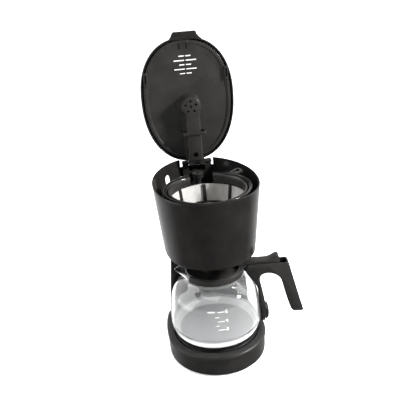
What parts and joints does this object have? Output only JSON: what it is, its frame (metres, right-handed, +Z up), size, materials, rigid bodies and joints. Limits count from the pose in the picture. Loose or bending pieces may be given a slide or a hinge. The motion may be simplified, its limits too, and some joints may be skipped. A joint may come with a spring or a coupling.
{
  "type": "drip coffee maker",
  "caption": "Compact black drip coffee maker: hinged lid with a spout arm, tapered drum with lift-out filter basket, hot plate and a glass jug with lidded black handle.",
  "frame": {"origin": "on the table, under the axis of the jug and of the hot plate", "axes": "+Z up, -Y towards the front of the machine, +Y towards the lid hinge, +X towards the side the jug handle points to"},
  "size_m": [0.2074, 0.2283, 0.4594],
  "materials": {
    "gloss_black": "high gloss, warm black",
    "satin_black": "satin, fine moulded grain",
    "dark_rubber": "matt",
    "silicone": "matt silicone",
    "clear_glass": "clear, thick foot",
    "mesh_grey": "woven nylon mesh, light grey",
    "plate_coat": "dark non-stick coating on pressed steel",
    "steel": "bright drawn steel",
    "cast_alu": "as drawn",
    "ceramic": "pale phenolic and ceramic",
    "fuse_gold": "plain",
    "hose": "milky silicone hose",
    "white_plastic": "natural moulded plastic",
    "switch_red": "translucent red rocker"
  },
  "bodies": {
    "machine": {"base_shell": "satin_black", "plate_ring": "satin_black", "bottom_cover": "satin_black", "rubber_feet": "dark_rubber", "base_screws": "steel", "hot_plate": "plate_coat", "plate_gasket": "silicone", "heater_tube": "cast_alu", "thermostat": "ceramic", "thermal_fuse": "fuse_gold", "valve_body": "white_plastic", "cold_tube": "hose", "riser_tube": "hose", "tube_clamps": "steel", "column_shell": "satin_black", "underside_cover": "satin_black", "drum_shell": "gloss_black", "brew_liner": "satin_black", "tank_floor": "satin_black", "riser_port": "satin_black", "hinge_bracket": "satin_black", "hinge_pin": "steel", "switch_body": "dark_rubber", "cord_gland": "dark_rubber"},
    "ball": {"check_ball": "steel"},
    "rocker": {"switch_rocker": "switch_red"},
    "lid": {"lid_shell": "gloss_black", "lid_liner": "satin_black", "lid_lug": "satin_black", "spout_arm": "satin_black", "shower_plate": "satin_black", "arm_clip": "satin_black"},
    "basket": {"filter_basket": "satin_black", "outlet_guide": "satin_black", "valve_spring": "steel"},
    "valve": {"drip_valve": "satin_black", "valve_seal": "silicone"},
    "filter": {"filter_frame": "satin_black", "filter_mesh": "mesh_grey"},
    "carafe": {"carafe_glass": "clear_glass", "collar_band": "satin_black", "carafe_handle": "satin_black", "handle_cap": "satin_black", "lever_pin": "steel"},
    "carafe_cover": {"carafe_lid": "satin_black", "lid_lever": "satin_black"}
  },
  "joints": [
    {"name": "lid_hinge", "type": "hinge", "parent": "machine", "child": "lid", "pos_m": [0.004, 0.118, 0.2636], "axis": [-1, 0, 0], "range_deg": [-95, 0]},
    {"name": "basket_lift", "type": "slide", "parent": "machine", "child": "basket", "axis": [0, 0, 1], "range_m": [0, 0.09]},
    {"name": "filter_lift", "type": "slide", "parent": "basket", "child": "filter", "axis": [0, 0, 1], "range_m": [0, 0.06]},
    {"name": "drip_valve_lift", "type": "slide", "parent": "basket", "child": "valve", "axis": [0, 0, 1], "range_m": [0, 0.004], "stiffness_N_per_m": 60, "springref_m": -0.006, "deforming": ["valve_spring"]},
    {"name": "carafe_slide", "type": "slide", "parent": "machine", "child": "carafe", "axis": [0, -1, 0], "range_m": [0, 0.16]},
    {"name": "carafe_lid_hinge", "type": "hinge", "parent": "carafe", "child": "carafe_cover", "pos_m": [0.04605, -0.00647, 0.1403], "axis": [0.1392, 0.9903, 0], "range_deg": [0, 18]},
    {"name": "switch_rock", "type": "hinge", "parent": "machine", "child": "rocker", "pos_m": [0.0708, 0.034, 0.0146], "axis": [0, 1, 0], "range_deg": [0, 12]},
    {"name": "check_ball_lift", "type": "slide", "parent": "machine", "child": "ball", "axis": [0, 0, 1], "range_m": [0, 0.002]}
  ]
}
